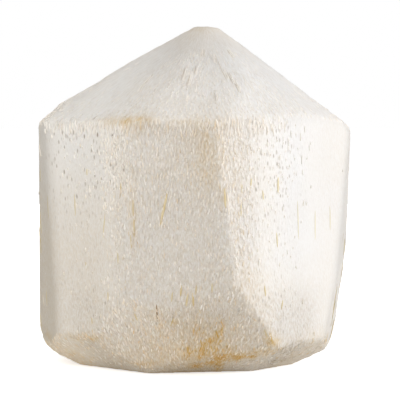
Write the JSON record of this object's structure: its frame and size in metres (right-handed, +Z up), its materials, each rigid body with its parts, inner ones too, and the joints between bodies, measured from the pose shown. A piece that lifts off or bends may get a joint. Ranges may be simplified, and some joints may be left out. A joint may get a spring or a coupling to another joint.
{
  "type": "young coconut",
  "caption": "Young coconut trimmed to its pale husk: flat knife-cut flanks, a low pointed crown and a bevelled foot it stands on.",
  "frame": {"origin": "on the resting face, on the upright axis of the flanks", "axes": "+Z up towards the pointed crown, -Y towards the side that the picture shows, +X to that side's right"},
  "size_m": [0.1177, 0.1198, 0.1264],
  "materials": {
    "husk": "matte"
  },
  "bodies": {
    "root": {"trimmed_coconut": "husk"}
  },
  "joints": []
}
